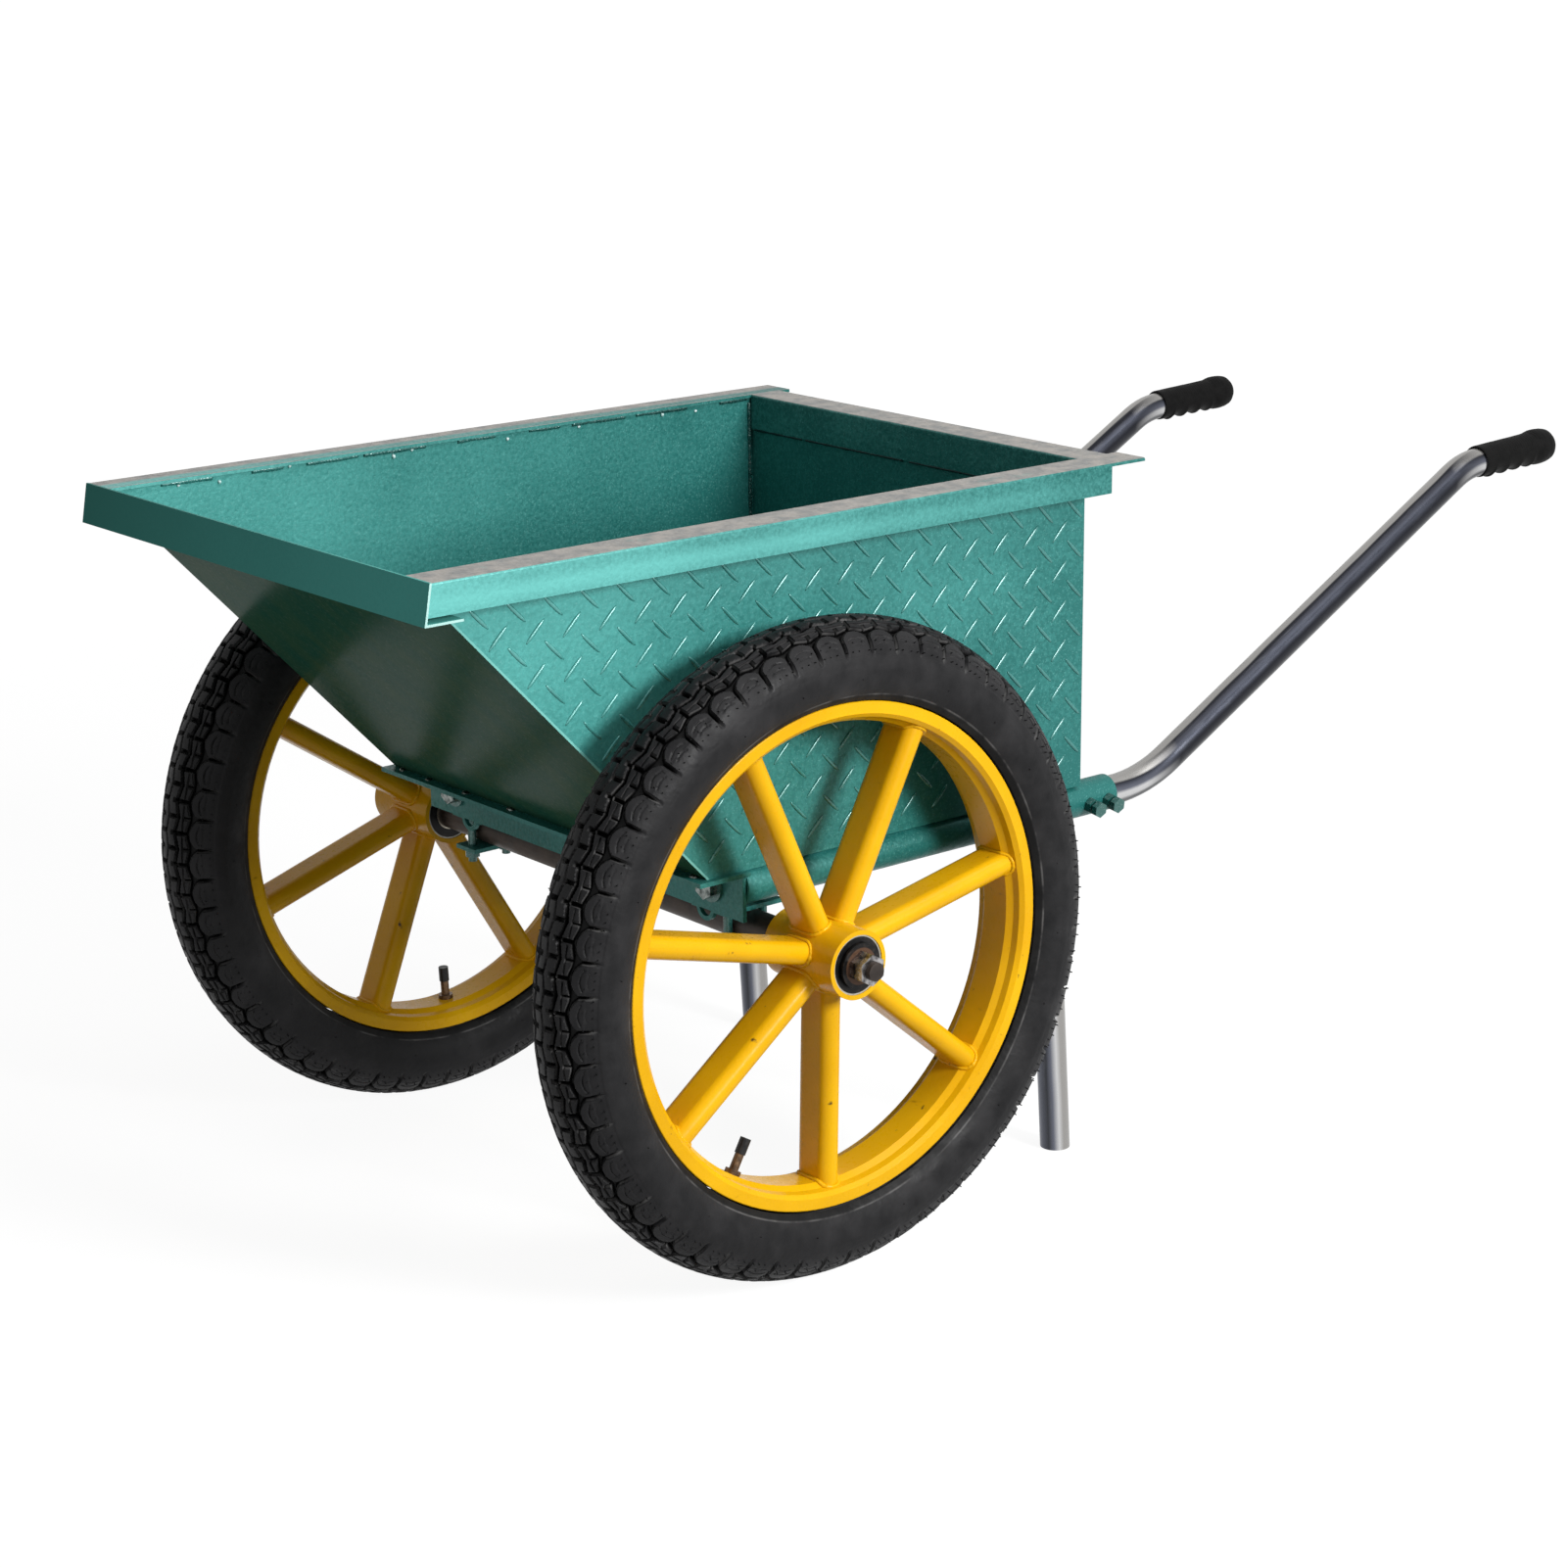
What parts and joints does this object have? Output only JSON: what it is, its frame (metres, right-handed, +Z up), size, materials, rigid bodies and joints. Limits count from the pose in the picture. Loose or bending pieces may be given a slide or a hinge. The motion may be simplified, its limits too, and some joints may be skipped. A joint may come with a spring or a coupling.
{
  "type": "two-wheeled wheelbarrow",
  "caption": "Two-wheeled steel tub barrow with a sloping tipping front, angle-iron rim, tube-spoked pneumatic wheels, bent tube handles with rubber grips and removable legs.",
  "frame": {"origin": "on the ground, under the middle of the barrow's box: centred fore and aft between the grip ends and the tipping lip, and side to side between the wheels", "axes": "+X forward, away from the handles and towards the sloping tipping lip; +Y to the barrow's left, along the axle; +Z up"},
  "size_m": [1.392, 0.732, 0.654],
  "materials": {
    "green_paint": "teal-green gloss enamel over sheet steel, slightly hammered and uneven",
    "green_fastener": "zinc fasteners painted over with the same green enamel",
    "galvanised_tube": "galvanised tube, satin with soft lengthwise streaks",
    "grip_rubber": "black moulded rubber, satin",
    "axle_steel": "dark brown mill scale and primer on bar steel",
    "weathered_steel": "plated steel with light rust staining",
    "bearing_steel": "ground bearing steel",
    "yellow_paint": "warm yellow gloss enamel with small scuffs and weld ripples",
    "tyre_rubber": "black block-tread rubber with smooth matte sidewalls",
    "tube_rubber": "butyl rubber, matte",
    "seal_rubber": "black nitrile seal",
    "valve_brass": "nickelled brass, dulled",
    "black_plastic": "black dust cap"
  },
  "bodies": {
    "cart": {"side_panel_left": "green_paint", "side_panel_right": "green_paint", "front_panel": "green_paint", "floor_panel": "green_paint", "rear_panel": "green_paint", "top_rail_left": "green_paint", "top_rail_right": "green_paint", "rear_top_angle": "green_paint", "handle_socket_left": "green_paint", "handle_socket_right": "green_paint", "front_cross_angle": "green_paint", "axle_saddle_left": "green_paint", "axle_saddle_right": "green_paint", "axle_straps": "green_paint", "strap_bolts": "green_fastener", "strap_nuts": "green_fastener", "saddle_bolts": "green_fastener", "saddle_washers": "green_fastener", "saddle_nuts": "green_fastener", "handle_left": "galvanised_tube", "handle_right": "galvanised_tube", "handle_socket_nuts": "green_fastener", "handle_set_bolts": "green_fastener", "grip_left": "grip_rubber", "grip_right": "grip_rubber", "leg_socket_left": "green_paint", "leg_socket_right": "green_paint", "leg_left": "galvanised_tube", "leg_right": "galvanised_tube", "leg_socket_nuts": "green_fastener", "leg_set_bolts": "green_fastener", "axle": "axle_steel", "bearing_inner_rings": "bearing_steel", "bearing_spacers": "bearing_steel", "axle_end_collars": "weathered_steel", "axle_end_washers": "weathered_steel", "axle_end_nuts": "weathered_steel"},
    "wheel_left": {"tyre_left": "tyre_rubber", "inner_tube_left": "tube_rubber", "rim_left": "yellow_paint", "spokes_left": "yellow_paint", "hub_left": "yellow_paint", "valve_stem_left": "valve_brass", "valve_nut_left": "valve_brass", "valve_cap_left": "black_plastic", "bearing_rings_left": "bearing_steel", "bearing_balls_left": "bearing_steel", "bearing_seals_left": "seal_rubber"},
    "wheel_right": {"tyre_right": "tyre_rubber", "inner_tube_right": "tube_rubber", "rim_right": "yellow_paint", "spokes_right": "yellow_paint", "hub_right": "yellow_paint", "valve_stem_right": "valve_brass", "valve_nut_right": "valve_brass", "valve_cap_right": "black_plastic", "bearing_rings_right": "bearing_steel", "bearing_balls_right": "bearing_steel", "bearing_seals_right": "seal_rubber"}
  },
  "joints": [
    {"name": "left_wheel_spin", "type": "hinge", "parent": "cart", "child": "wheel_left", "pos_m": [0.33, 0.293, 0.288], "axis": [0, 1, 0], "continuous": true},
    {"name": "right_wheel_spin", "type": "hinge", "parent": "cart", "child": "wheel_right", "pos_m": [0.33, -0.293, 0.288], "axis": [0, 1, 0], "continuous": true}
  ]
}
